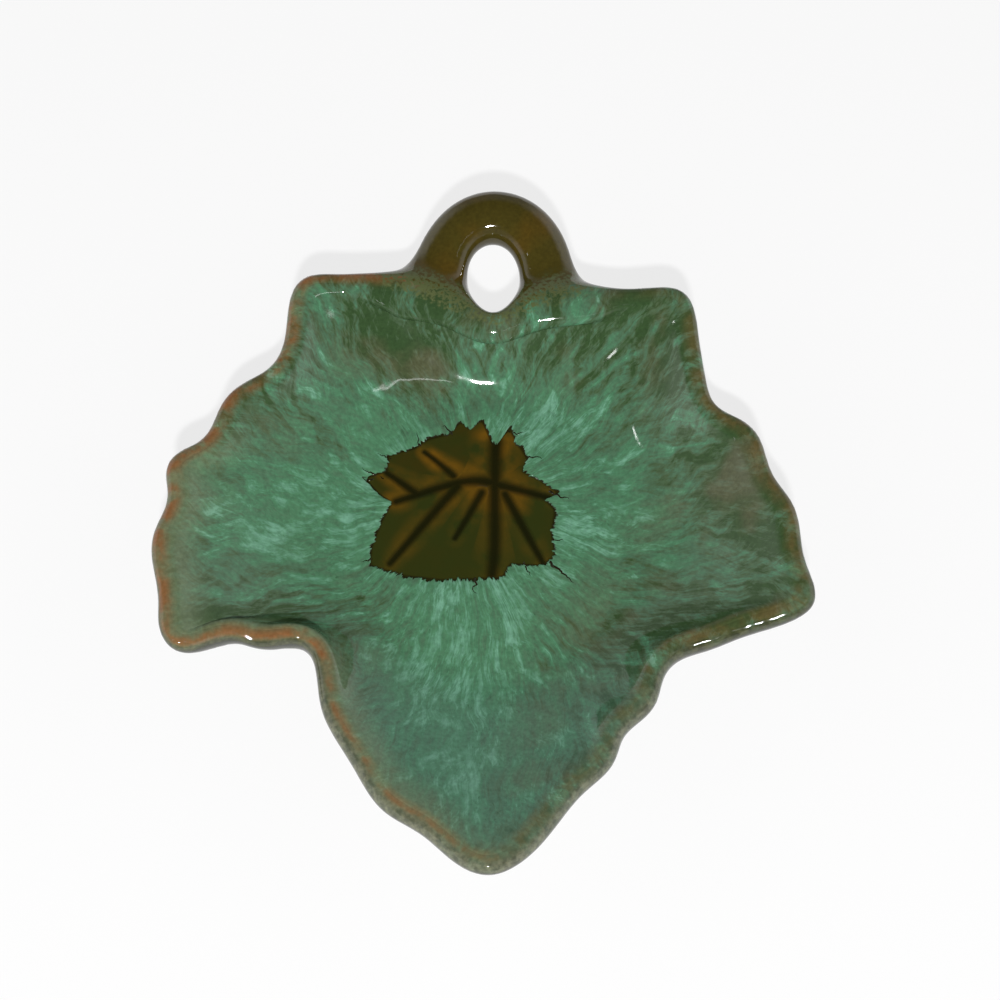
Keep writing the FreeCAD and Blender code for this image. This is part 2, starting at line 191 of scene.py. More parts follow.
smooth = {"interpolation_type": "SMOOTHSTEP"}
rgb = {"data_type": "RGBA"}
onPoints = {"data_type": "FLOAT", "domain": "POINT"}
multiply, multiplyAdd, subtract, add, scale = (
    {"operation": word} for word in ("MULTIPLY", "MULTIPLY_ADD", "SUBTRACT", "ADD", "SCALE"))
glaze = {
    # colours from thin to thick
    "ramp": [(0.0, "#3a5231"), (0.22, "#4d6447"), (0.45, "#52755a"), (0.72, "#538663"), (1.0, "#76ab8f")],
    # a bluer, paler teal toward the front: the glaze's own tint with a painted sheen over it
    "frontTealAndSheen": "#5c8f80",
    "mauve": "#68604a",
    "fleckGreen": "#2f4527",
    # pale inside the lip on the left: thin glaze with a painted sheen
    "innerLipAndSheen": "#778364",
    "outerLip": "#47452c",
    # the outer lip paler toward the front: thin grey-mauve glaze with a painted sheen
    "frontLipAndSheen": "#6c6a56",
    # the outside wall: olive glaze darkened further as painted shade where it turns under
    "outerWallAndShade": "#26281a",
    "rust": "#8d5c36",
    "lipBrown": "#735a34",
    "stemOlive": "#5c6540",
    "handle": "#463e17",
    "handleAmber": "#5a4416",
    "darkEdge": "#211e0a",
    "streak": (0.6, 7.0),  # width and length in mm
    "wisp": (1.9, 18.0),
    "plume": (5.0, 40.0),
    "fleck": (0.5, 2.2),
    "stroke": {"Scale": 1.0, "Detail": 4.0, "Roughness": 0.65, "Distortion": 0.4},
    "lean": (0.006, -0.005),  # of the two families of strokes, in radians for each mm of run
    "wander": 5.5,
    "flutter": 1.0,
    "noises": {  # size in mm and detail
        "wander": (18, 2.0), "flutter": (6, 2.0), "patchy": (7, 2.0), "cloud": (9, 3.0),
        "mottle": (2.6, 5.0), "mauve": (17, 3.0), "grain": (0.9, 4.0), "broken": (5, 4.0),
        "speckle": (1.8, 4.0), "amber": (12, 2.0),
    },
    "readings": {  # where a value begins and ends to count, and what it becomes if not 0 to 1
        "patchy": (0.35, 0.65, 0.2, 1.8), "grain": (0.3, 0.7), "speckle": (0.38, 0.62, 0.58, 1.2),
        "amber": (0.45, 0.8), "mauve": (0.5, 0.68, 0.0, 0.5), "broken": (0.36, 0.6, 0.3),
        "fleck": (0.56, 0.66, 0.0, 0.5), "right": (-20, 12), "left": (30, 10), "front": (-25, -50),
        "pale": (-13.0, -1.0, 0.0, 0.6), "outside": (2.6, 4.4, 0.0, 0.85), "calmer": (0.0, 1.0, 1.0, 0.85),
        "stem": (0.08, 0.4), "handle": (0.5, 1.0), "felt": (0.0, 1.0, 0.85, 1.13),
        "veils": (0.15, 0.85, 1.6, 0.8),  # bold on the lobes, calm by the window
        "crumbs": (1.15, 0.75),
    },
    "depthShare": 0.62,  # what moves the glaze along its ramp, and how far
    "base": 0.2,
    "streakShare": 0.9,
    "wispShare": 1.9,
    "plumeShare": 2.2,
    "cloudShare": 0.6,
    "mottleShare": 0.4,
    "thin": 0.9,  # depth under which mauve shows
    "outerShare": 0.8,
    # how much of the front teal and its painted sheen shows
    "frontSheenShare": 0.25,
    "crumb": (1.1, 1.6),  # dark crumbs at the window: size and reach in mm
}
gloss = {"Roughness": 0.045, "IOR": 1.52}
ripple = {"size": 6.0, "height": 0.15, "strength": 0.35}  # mm


def newMaterial(name):
    material = bpy.data.materials.new(name)
    material.use_nodes = True
    material.node_tree.nodes.clear()
    return material, partial(addNode, material.node_tree)


def surface(node, inputs):
    node("OutputMaterial", (node("BsdfPrincipled", inputs),))


def strokeNoise(node, bent, spread, size, s):
    # strokes along the run of the glaze, of one width all over, leaning both ways
    octave = node("Math", (spread, 0.5), operation="LOGARITHM")  # one more for each halving
    run = node("SeparateXYZ", (bent,)).outputs["Z"]
    families = []
    for lean in s["lean"]:
        turn = node("Math", (run, lean), **multiply)
        leaning = node("VectorRotate", {"Vector": bent, "Angle": turn}, rotation_type="Z_AXIS")
        for k in range(3):
            wide = 1 / (size[0] * 2**k)
            fine = node("VectorMath", (leaning, (wide, wide, 1 / size[1])), **multiply)
            layer = node("TexNoise", {"Vector": fine, **s["stroke"]})
            if k == 0:
                blend = layer
                continue
            part = node("Math", (octave, k - 1.0), use_clamp=True, **subtract)
            blend = node("Mix", {"Factor": part, 2: blend, 3: layer}, data_type="FLOAT")
        families.append(blend)
    return node("Mix", {"Factor": 0.5, 2: families[0], 3: families[1]}, data_type="FLOAT")


def glazeGroup(s):
    tree = bpy.data.node_groups.new("reactive glaze", "ShaderNodeTree")
    tree.interface.new_socket("Colour", in_out="OUTPUT", socket_type="NodeSocketColor")
    node = partial(addNode, tree)
    place = node("TexCoord").outputs["Object"]
    x, y, _ = node("SeparateXYZ", (node("VectorMath", {0: place, "Scale": 1 / mm}, **scale),)).outputs
    bent = node("Attribute", attribute_name="flow").outputs["Vector"]
    spread, depth, past, rust, outer, loop = (
        node("Attribute", attribute_name=name).outputs["Fac"]
        for name in ("spread", "depth", "pastCrown", "rust", "outer", "loop"))
    noise = {name: node("TexNoise", {"Vector": place, "Scale": 1 / (size * mm), "Detail": detail})
             for name, (size, detail) in s["noises"].items()}

    # the run of the glaze wanders and flutters
    for name in ("wander", "flutter"):
        centred = node("VectorMath", (noise[name].outputs["Color"], (0.5, 0.5, 0.5)), **subtract)
        even = node("Math", (2 * s[name], spread), operation="DIVIDE")
        sway = node("VectorMath", {0: centred, "Scale": even}, **scale)
        bent = node("VectorMath", (bent, sway), **add)
    streak, wisp, plume, fleck = (strokeNoise(node, bent, spread, s[name], s)
                                  for name in ("streak", "wisp", "plume", "fleck"))

    reads = s["readings"]
    patchy, grain, speckle, amber = (node("MapRange", (noise[name], *reads[name]))
                                     for name in ("patchy", "grain", "speckle", "amber"))
    patch, broken, fleck, right, left, front, pale, outside = (
        node("MapRange", (value, *reads[name]), **smooth)
        for name, value in (("mauve", noise["mauve"]), ("broken", noise["broken"]), ("fleck", fleck),
                            ("right", x), ("left", y), ("front", y), ("pale", past), ("outside", past)))

    # strokes, veils and clouds move the glaze along its colours
    streak = node("Math", (streak, 0.5), **subtract)
    streak = node("Math", (streak, patchy), **multiply)
    middle = -(s["wispShare"] + s["plumeShare"]) / 2
    veils = node("Math", (wisp, s["wispShare"], middle), **multiplyAdd)
    veils = node("Math", (plume, s["plumeShare"], veils), **multiplyAdd)
    veils = node("Math", (veils, node("MapRange", (depth, *reads["veils"]))), **multiply)
    level = s["base"] - (s["cloudShare"] + s["mottleShare"]) / 2
    for part, share in ((depth, s["depthShare"]), (noise["cloud"], s["cloudShare"]),
                        (noise["mottle"], s["mottleShare"]), (veils, 1.0), (streak, s["streakShare"])):
        level = node("Math", (part, share, level), **multiplyAdd)
    colour = node("ValToRGB", {"Fac": level})
    stops = colour.color_ramp.elements
    for position, _ in s["ramp"][1:-1]:
        stops.new(position)
    for stop, (_, shade) in zip(stops, s["ramp"]):
        stop.color = linearColour(shade)

    # mauve patches where the pour is thin
    thin = node("Math", (s["thin"], depth), use_clamp=True, **subtract)
    patch = node("Math", (patch, thin), **multiply)

    # lip: pale inside on the left, glaze thinning there with a painted sheen; rust or brown where the glaze
    # breaks thin, then grey, paler toward the front with a painted sheen; dark outside, its olive glaze
    # darkened further as painted shade where the wall turns under
    left = node("Math", (left, right), use_clamp=True, **subtract)
    # the pale band inside the lip: glaze thinning there with a painted sheen
    pale = node("Math", (pale, left), **multiply)
    rustColour = node("Mix", {"Factor": right, 6: s["rust"], 7: s["lipBrown"]}, **rgb)
    for part in (broken, node("MapRange", (front, *reads["calmer"]))):
        rust = node("Math", (rust, part), **multiply)
    outer = node("Math", (outer, s["outerShare"]), **multiply)
    # the outer lip, paler toward the front as painted sheen
    outerLipAndSheen = node("Mix", {"Factor": front, 6: s["outerLip"], 7: s["frontLipAndSheen"]}, **rgb)
    outerLipAndSheen = node("VectorMath", {0: outerLipAndSheen, "Scale": speckle}, **scale)
    # the front's share of the bluer teal, which carries a painted sheen
    front = node("Math", (front, s["frontSheenShare"]), **multiply)

    # loop: olive brown with amber, its stem speckled into the green
    edge = node("Math", (1.0, loop), **subtract)
    edge = node("Math", (edge, loop), **multiply)
    centred = node("Math", (grain, 4.0, -2.0), **multiplyAdd)
    speckled = node("Math", (edge, centred, loop), **multiplyAdd)
    stem, handle = (node("MapRange", (speckled, *reads[name]), **smooth) for name in ("stem", "handle"))
    amber = node("Math", (amber, loop), **multiply)
    loopColour = node("Mix", {"Factor": amber, 6: s["handle"], 7: s["handleAmber"]}, **rgb)

    # the front teal, the pale inner lip and the paler front lip carry painted sheen; the outside wall
    # carries painted shade
    for share, over in ((front, s["frontTealAndSheen"]), (patch, s["mauve"]), (fleck, s["fleckGreen"]),
                        (pale, s["innerLipAndSheen"]), (outer, outerLipAndSheen), (outside, s["outerWallAndShade"]),
                        (rust, rustColour), (stem, s["stemOlive"]), (handle, loopColour)):
        colour = node("Mix", {"Factor": share, 6: colour, 7: over}, **rgb)
    felt = node("MapRange", (grain, *reads["felt"]))
    node("NodeGroupOutput", (node("VectorMath", {0: colour, "Scale": felt}, **scale),))
    return tree


reactive = glazeGroup(glaze)


def glossSurface(node, place, colour):
    # a fired gloss glaze: glassy, with a slow ripple in its highlights
    wave = node("TexNoise", {"Vector": place, "Scale": 1 / (ripple["size"] * mm), "Detail": 1.0})
    bump = node("Bump", {"Height": wave, "Distance": ripple["height"] * mm, "Strength": ripple["strength"]})
    surface(node, {"Base Color": colour, "Normal": bump, **gloss})


# poured gloss glaze: glassy, streaked along its run, dark and cracked where it ends over the pool
def pouredGlaze(s):
    material, node = newMaterial("teal gloss glaze, poured")
    place = node("TexCoord").outputs["Object"]
    edge = node("Attribute", attribute_name="fromWindow").outputs["Fac"]
    size, reach = s["crumb"]
    crumbs = node("TexNoise", {"Vector": place, "Scale": 1 / (size * mm), "Detail": 3.0})
    crumbs = node("Math", (crumbs, reach, edge), **multiplyAdd)
    dark = node("MapRange", (crumbs, *s["readings"]["crumbs"]), **smooth)
    group = node("Group", node_tree=reactive)
    glossSurface(node, place, node("Mix", {"Factor": dark, 6: group, 7: s["darkEdge"]}, **rgb))
    return material


# the same glaze where it breaks over the clay: lip, outside and loop
def clayGlaze():
    material, node = newMaterial("brown gloss glaze over cast earthenware")
    glossSurface(node, node("TexCoord").outputs["Object"], node("Group", node_tree=reactive))
    return material


# brown glaze that has pooled: dark in the veins, amber beside them, dark again at the rim of the pool
pooled = {
    "olive": "#313713",
    "brown": "#3a3510",
    "amber": "#7a5514",
    "vein": "#191a08",
    "cloudSize": 8.0,  # mm
    "cloud": (0.35, 0.65),  # readings, as in the glaze
    "back": (0.0, 0.024, 0.3),
    "halo": (3.2, 1.0, 0.0, 0.85),
    "deep": (1.25, 0.1, 0.0, 0.95),
    "rim": (0.7, 0.0, 0.0, 0.8),
}


def pooledGlaze(s):
    material, node = newMaterial("brown gloss glaze, pooled over veins")
    place = node("TexCoord").outputs["Object"]
    vein, edge = (node("Attribute", attribute_name=name).outputs["Fac"]
                  for name in ("veinShare", "fromEdge"))
    cloud = node("TexNoise", {"Vector": place, "Scale": 1 / (s["cloudSize"] * mm), "Detail": 3.0})
    cloud = node("MapRange", (cloud, *s["cloud"]))
    along = node("SeparateXYZ", (place,)).outputs["Y"]
    back, halo, deep, rim = (node("MapRange", (value, *s[name]), **smooth) for name, value in (
        ("back", along), ("halo", vein), ("deep", vein), ("rim", edge)))
    warm = node("Math", (cloud, back), **multiply)
    halo = node("Math", (halo, warm), **multiply)
    colour = s["olive"]
    for share, over in ((warm, s["brown"]), (halo, s["amber"]), (deep, s["vein"]),
                        (rim, glaze["darkEdge"])):
        colour = node("Mix", {"Factor": share, 6: colour, 7: over}, **rgb)
    glossSurface(node, place, colour)
    return material


# unglazed buff earthenware, wiped clean before firing: matt, gritty
clay = {"dark": "#b08f6c", "pale": "#d6bd9b", "roughness": 0.85, "grit": 0.5, "height": 0.1, "bump": 0.6}


def bareClay(s):
    material, node = newMaterial("buff earthenware, wiped foot")
    place = node("TexCoord").outputs["Object"]
    grit = node("TexNoise", {"Vector": place, "Scale": 1 / (s["grit"] * mm), "Detail": 4.0})
    colour = node("Mix", {"Factor": grit, 6: s["dark"], 7: s["pale"]}, **rgb)
    bump = node("Bump", {"Height": grit, "Distance": s["height"] * mm, "Strength": s["bump"]})
    surface(node, {"Base Color": colour, "Normal": bump, "Roughness": s["roughness"]})
    return material


# leaf: five lobes, a ruffled wall and a rolled lip, walked anticlockwise from the stem notch
leafShape = {
    "size": (151.0, 148.5),
    "leafShift": 3.3,
    "rimHeight": 23.0,
    "rimLift": 20.0,
    "wall": 4.6,
    "lipCrown": 0.6,
    "lipBand": 6.5,
    "lipSwell": 0.8,
    "floorHalf": (32.0, 35.5),
    "floorShift": 2.5,
    "footHeight": 2.4,
    "glazeRoll": 1.2,
    "poolPocket": 1.3,
    "columns": 132,
    "outlineSteps": 4000,
    "wallPasses": 24,
    "lipPasses": 2,
    "spreadPasses": 20,
    "edge": [
        (0.00, 0.705), (-0.09, 0.735), (-0.17, 0.78), (-0.30, 0.812), (-0.53, 0.817),
        (-0.60, 0.797), (-0.632, 0.74), (-0.647, 0.605), (-0.695, 0.49), (-0.765, 0.437),
        (-0.832, 0.365), (-0.86, 0.285), (-0.90, 0.215), (-0.954, 0.178), (-0.994, 0.12),
        (-0.983, 0.035), (-1.02, -0.12), (-0.99, -0.33), (-0.975, -0.445), (-0.93, -0.495),
        (-0.765, -0.438), (-0.69, -0.458), (-0.615, -0.436), (-0.562, -0.439), (-0.52, -0.518),
        (-0.497, -0.656), (-0.40, -0.842), (-0.293, -1.003), (-0.205, -1.058), (-0.066, -1.18),
        (0.00, -1.20), (0.07, -1.173), (0.222, -0.995), (0.275, -0.928), (0.335, -0.872),
        (0.372, -0.815), (0.391, -0.748), (0.438, -0.698), (0.488, -0.648), (0.524, -0.535),
        (0.575, -0.48), (0.66, -0.458), (0.75, -0.426), (0.92, -0.38),
        (0.973, -0.34), (0.972, -0.27), (0.95, -0.18), (0.943, -0.08), (0.925, 0.01),
        (0.88, 0.09), (0.855, 0.17), (0.833, 0.25), (0.777, 0.312), (0.71, 0.36),
        (0.678, 0.46), (0.657, 0.62), (0.642, 0.71), (0.612, 0.757), (0.55, 0.772),
        (0.33, 0.767), (0.20, 0.752), (0.09, 0.722),
    ],
    "pool": [
        (-0.05, 0.86), (-0.40, 0.78), (-0.74, 0.60), (-0.84, 0.42), (-0.76, 0.25), (-0.86, -0.10),
        (-0.66, -0.24), (-0.20, -0.27), (0.20, -0.22), (0.46, -0.14), (0.49, 0.18), (0.46, 0.38),
        (0.26, 0.68),
    ],
    "wallShares": [(0.16, 0.06), (0.38, 0.24), (0.60, 0.47), (0.80, 0.71), (0.95, 0.91)],
    "lipInside": 0.985,
    "fineColumns": 660,
    "fineRows": 110,
    "filledRows": 50,
}


def closedSpline(points, count, fine=40):
    # a smooth closed line through the points, cut into equal steps
    p = np.asarray(points, float)
    n = len(p)
    chord = np.linalg.norm(np.roll(p, -1, 0) - p, axis=1)
    pull, load = np.zeros((n, n)), np.zeros_like(p)
    for i in range(n):
        a, b, after = chord[i - 1], chord[i], (i + 1) % n
        pull[i, i - 1], pull[i, i], pull[i, after] = b, 2 * (a + b), a
        load[i] = 3 * (b * (p[i] - p[i - 1]) / a + a * (p[after] - p[i]) / b)
    slope = np.linalg.solve(pull, load)
    t = np.linspace(0, 1, fine, endpoint=False)[None, :, None]
    h, q, nextSlope = chord[:, None, None], np.roll(p, -1, 0), np.roll(slope, -1, 0)
    line = ((2 * t**3 - 3 * t**2 + 1) * p[:, None] + (t**3 - 2 * t**2 + t) * h * slope[:, None]
            + (3 * t**2 - 2 * t**3) * q[:, None] + (t**3 - t**2) * h * nextSlope[:, None])
    line = line.reshape(-1, p.shape[1])
    line = np.vstack([line, line[:1]])
    run = runOf(line)
    steps = np.linspace(0, run[-1], count, endpoint=False)
    return placesAt(steps, run, line)


def softened(ring, passes):
    for _ in range(passes):
        ring = (np.roll(ring, 1, 0) + 2 * ring + np.roll(ring, -1, 0)) / 4
    return ring


def sharpened(ring):
    return ring + (ring - (np.roll(ring, 1, 0) + np.roll(ring, -1, 0)) / 2) / 3


def outward(ring):
    along = np.roll(ring, -1, 0) - np.roll(ring, 1, 0)
    return unit(np.stack([along[:, 1], -along[:, 0]], 1))


def raised(ring, height):
    return np.column_stack([ring[:, :2], np.broadcast_to(height, len(ring))])


def polarReach(outline, middle, angles):
    # how far out from the middle the outline lies in each direction
    turn, reach = polar(outline - middle)
    order = np.argsort(turn)
    return np.interp(angles, turn[order], reach[order], period=2 * math.pi)


def pushedOut(rows, i, distance):
    ring, below, above = rows[i], rows[max(i - 1, 0)], rows[min(i + 1, len(rows) - 1)]
    roundLeaf = np.roll(ring, -1, 0) - np.roll(ring, 1, 0)
    return ring + unit(np.cross(roundLeaf, above - below)) * distance


def leafRows(s):
    share = closedSpline(s["edge"], s["outlineSteps"])
    grow = np.array(s["size"]) / (share.max(0) - share.min(0))
    edge = closedSpline(np.array(s["edge"]) * grow + np.array([0, s["leafShift"]]), s["columns"])
    reach = np.linalg.norm(edge, axis=1)
    height = s["rimHeight"] + s["rimLift"] * (reach / reach.mean() - 1)
    lipInside = edge - outward(softened(edge, s["lipPasses"])) * s["wall"]
    floorZ = s["footHeight"] + s["wall"]
    centre = np.array([0, s["floorShift"]])
    turn, _ = polar(softened(edge, s["wallPasses"]) - centre)
    floor = centre + roundWay(turn) * np.array(s["floorHalf"])
    poolPoints = np.array(s["pool"]) * np.array(s["floorHalf"])
    middle = poolPoints.mean(0)
    angles, _ = polar(floor - middle)
    reach = polarReach(closedSpline(poolPoints, s["outlineSteps"] // 2), middle, angles)
    pool = middle + unit(floor - middle) * reach[:, None]
    roll = pool + unit(floor - pool) * s["glazeRoll"]
    rows = [raised(r, floorZ) for r in (pool, roll, (roll + floor) / 2, floor)]
    softLip = softened(lipInside, s["wallPasses"])
    for out, climb in s["wallShares"]:
        target = softLip + (lipInside - softLip) * out**2
        rows.append(raised(floor + (target - floor) * out, floorZ + (height - floorZ) * climb))
    rows.append(raised(lipInside, floorZ + (height - floorZ) * s["lipInside"]))
    inside = len(rows)
    firstWall = inside - 1 - len(s["wallShares"])
    rows.append(raised((edge + lipInside) / 2, height + s["lipCrown"]))
    rows.append(raised(sharpened(edge) + outward(edge) * s["lipSwell"], height))
    rows.append(raised(edge, height - s["lipBand"]))
    for i in range(inside - 3, firstWall - 1, -1):
        rows.append(pushedOut(rows[:inside], i, s["wall"]))
    base = raised(rows[firstWall - 1], s["footHeight"])
    rows.append((base + raised(rows[-1], s["footHeight"])) / 2)
    rows.append(base)
    return np.array(rows), middle


def roundWeights(count, places):
    i = np.floor(places).astype(int)
    t = places - i
    weights = np.stack([(1 - t)**3, 3 * t**3 - 6 * t**2 + 4, -3 * t**3 + 3 * t**2 + 3 * t + 1, t**3], 1) / 6
    table = np.zeros((len(places), count))
    for k in range(4):
        table[np.arange(len(places)), (i + k - 1) % count] += weights[:, k]
    return table


def upWeights(count, places):
    knots = np.concatenate([[0] * 3, np.arange(count - 2), [count - 3] * 3]).astype(float)
    v = np.minimum(places, count - 3 - 1e-9)[:, None]
    table = ((knots[:-1] <= v) & (v < knots[1:])).astype(float)
    for d in range(1, 4):
        low, high = knots[:-d - 1], knots[d + 1:]
        rise, fall = knots[d:-1] - low, high - knots[1:-d]
        left = np.where(rise > 0, (v - low) / np.where(rise > 0, rise, 1), 0)
        right = np.where(fall > 0, (high - v) / np.where(fall > 0, fall, 1), 0)
        table = left * table[:, :-1] + right * table[:, 1:]
    return table


def skin(rows, u, v):
    # the smooth surface that a net of rows pulls into shape, closed round its columns
    across = np.einsum("uc,rcx->urx", roundWeights(rows.shape[1], u), rows)
    return np.einsum("vr,urx->uvx", upWeights(rows.shape[0], v), across)


rows, poolMiddle = leafRows(leafShape)
rowCount = len(rows)
crownPlace = 9.0  # along the rows, where the lip is highest
lipRow, bandRow = 11, 12  # the rows that pull out the lip and the band under it
floorZ = leafShape["footHeight"] + leafShape["wall"]
rimLength = float(np.linalg.norm(np.roll(rows[lipRow], -1, 0) - rows[lipRow], axis=1).sum())
print("leaf net", rows.shape, "rim", round(rimLength), "mm")


# where the poured glaze lies: reach from the pool's middle by direction, then spots that raise or lower it,
# the strongest two making the back wall beside the loop darker
pour = {
    "full": 0.88,
    "limits": (-0.4, 1),
    "fade": (0.38, 1.42),  # shares of the reach between which the pour thins out
    "reach": [  # degrees, mm
        (2, 53), (24, 46), (47, 50), (67, 43), (90, 38), (106, 38), (124, 56), (140, 52), (152, 40),
        (173, 58), (190, 66), (204, 60), (214, 44), (234, 40), (249, 52), (270, 82), (290, 60), (305, 45),
        (321, 44), (341, 58),
    ],
    "spots": [  # place, radius, change of depth
        # the first two make the back wall beside the loop darker
        ((-14, 49), 13, -0.58), ((-28, 51), 11, -0.50), ((-44, 26), 13, 0.05), ((17, 49), 12, -0.12),
        ((32, -16), 13, -0.10), ((-23, -20), 12, -0.15), ((-20, -39), 12, 0.15), ((20, -28), 12, -0.02),
        ((57, 11), 16, -0.35), ((-47, -20), 9, -0.20), ((-15, -52), 8, -0.10), ((40, 49), 12, -0.15),
        ((-12, -62), 14, 0.25), ((-20, -30), 12, 0.2), ((-55, 0), 16, 0.1), ((-21, 31), 9, 0.1),
        ((17, 29), 9, 0.12), ((0, -54), 19, 0.16), ((27, 6), 9, 0.12),
    ],
    "lip": [  # direction in degrees, strength of the rust, where it begins and ends past the crown
        (0, 0.6, -0.6, 2.8), (25, 0.6, -0.6, 2.8), (48, 0.4, -0.4, 2.8), (62, 0.1, 0.0, 2.6),
        (102, 0.1, 0.0, 2.6), (109, 0.85, 0.6, 3.2), (126, 0.9, 0.2, 3.2), (140, 0.85, -0.6, 3.0),
        (180, 0.9, -0.3, 2.7), (205, 0.8, -0.2, 2.0), (216, 1.0, -0.5, 1.0), (228, 1.0, -0.6, 0.5),
        (240, 1.0, -0.7, 0.2), (266, 0.8, -1.0, 0.2), (276, 0.5, -3.0, 0.4), (310, 0.5, -3.6, 0.4),
        (328, 0.55, -2.6, 0.6), (342, 0.5, -1.6, 1.4),
    ],
    "lipEdges": (2.2, 1.0, 0.6, 0.8),  # mm of softness before and after it begins, at its end, into grey
    "loopFoot": (46.5, 0.38, 16.0),  # where the loop's colour begins, how it rises to the sides, its blend
    "loopSide": (24.0, 32.0),  # how far to the sides it fades
}


def glazeDepth(points):
    turn, away = polar(points[:, :2] - poolMiddle)
    table = np.array(pour["reach"], float)
    reach = np.interp(np.degrees(turn), table[:, 0], table[:, 1], period=360)
    depth = pour["full"] * (1 - smoothStep(*pour["fade"], away / reach))
    for place, radius, change in pour["spots"]:
        depth = depth + change * np.exp(-(polar(points[:, :2] - place)[1] / radius)**2)
    return np.clip(depth, *pour["limits"])


def glazeValues(points, past):
    # what the glaze does at each point, from its place in plan and its distance past the lip's crown
    turn = np.degrees(polar(points)[0])
    table = np.array(pour["lip"], float)
    strength, begin, end = (np.interp(turn, table[:, 0], table[:, k], period=360) for k in (1, 2, 3))
    before, after, ends, greys = pour["lipEdges"]
    rust = strength * smoothStep(begin - before, begin + after, past)
    rust = rust * (1 - smoothStep(end - ends, end + ends, past))
    outer = smoothStep(end - ends, end + greys, past)
    foot, rise, blend = pour["loopFoot"]
    across = np.abs(points[:, 0] - loopShape["shift"])
    loop = smoothStep(0, blend, points[:, 1] - foot - rise * across)
    loop = loop * (1 - smoothStep(*pour["loopSide"], across))
    return {"depth": glazeDepth(points), "rust": rust, "outer": outer, "loop": loop}


def flowCoordinates(u, along):
    # a pattern space that has no seam: round the leaf on a circle, and along the run of the glaze
    turn = 2 * math.pi * u / leafShape["columns"]
    radius = rimLength / (2 * math.pi)
    return np.stack([radius * np.cos(turn), radius * np.sin(turn), along], -1)


def spreadOf(sheet):
    # how wide a column is here, as a share of its width at the rim
    step = np.linalg.norm(np.roll(sheet, -1, 0) - sheet, axis=-1)
    step = softened((step + np.roll(step, 1, 0)) / 2, leafShape["spreadPasses"])
    return step / (rimLength / len(sheet))


# loop handle: round sections on an arch, from the right root to the left one
loopShape = {
    "hole": (14.2, 19.5),
    "width": 13.4,
    "thickness": 9.2,
    "rise": 7.0,
    "sink": -1.5,
    "root": 12.0,
    "shift": 0.7,
    "arch": [(0, 1.0), (30, 1.05), (60, 1.05), (90, 1.0), (120, 0.97), (150, 0.96), (180, 1.12)],
    "rightRoot": [(1.0, 1.90, 0.12), (0.66, 1.70, 0.09), (0.33, 1.30, 0.05)],
    "leftRoot": [(0.33, 1.70, 0.26), (0.66, 2.15, 0.32), (1.0, 2.30, 0.34)],
    "widest": 0.52,
    "points": 12,
    "eye": (6.9, 9.0, 9.3),  # half width and half length of the hole as seen, its middle past the notch
    "eyeEgg": 0.1,
    "eyeRound": 3.6,
    "eyePoints": 160,
    "eyeReach": 14.0,  # how far from the ring its distance is worked out
    "eyeJoin": 3.0,
    "cut": (5.8, 9.0, 8.9),  # the same for the hole that is cut through loop and lip
    "cutEgg": 0.1,
    "cutEdge": 2.4,
    "fillet": (1.0, 12.0),
    "filletDepth": 4.0,
    "bedded": 2.2,
    "fine": (48, 120),
    "voxel": 0.8,
    "band": 17.0,  # in voxels
    "margin": 6,
}


def loopSections(s, notch):
    halfSpan = (s["hole"][0] + s["width"]) / 2
    archY = notch[1] + s["hole"][1] * s["widest"]
    archLength = notch[1] + s["hole"][1] + s["width"] / 2 - archY
    lowZ = notch[2] - s["sink"] - s["thickness"] / 2
    places = [((halfSpan + s["width"] * out, archY - s["root"] * root, lowZ), 90, wide)
              for root, wide, out in s["rightRoot"]]
    for degrees, wide in s["arch"]:
        a = math.radians(degrees)
        place = (halfSpan * math.cos(a), archY + archLength * math.sin(a), lowZ + s["rise"] * math.sin(a))
        turn = math.degrees(math.atan2(archLength * math.cos(a), -halfSpan * math.sin(a)))
        places.append((place, turn, wide))
    places += [((-halfSpan - s["width"] * out, archY - s["root"] * root, lowZ), 270, wide)
               for root, wide, out in s["leftRoot"]]
    rings = []
    around = 2 * math.pi * np.arange(s["points"]) / s["points"]
    for place, turn, wide in places:
        a = math.radians(turn)
        across = np.array([-math.sin(a), math.cos(a), 0]) * s["width"] / 2 * wide
        down = np.array([0, 0, -s["thickness"] / 2])
        ring = np.array(place) + np.cos(around)[:, None] * down + np.sin(around)[:, None] * across
        rings.append(sharpened(ring + np.array([s["shift"], 0, 0])))
    return np.array(rings)


def distanceBlock(sheet, voxel, low, shape, band):
    points, faces = sheet
    triangles = np.array([t for f in faces for t in ([f[:3], [f[0], f[2], f[3]]] if len(f) == 4 else [f])])
    grid = vdb.FloatGrid.createLevelSetFromPolygons(
        points.astype(np.float32), triangles=triangles.astype(np.uint32),
        transform=vdb.createLinearTransform(voxel), halfWidth=band)
    block = np.zeros(shape, np.float32)
    grid.copyToArray(block, ijk=low)
    return block


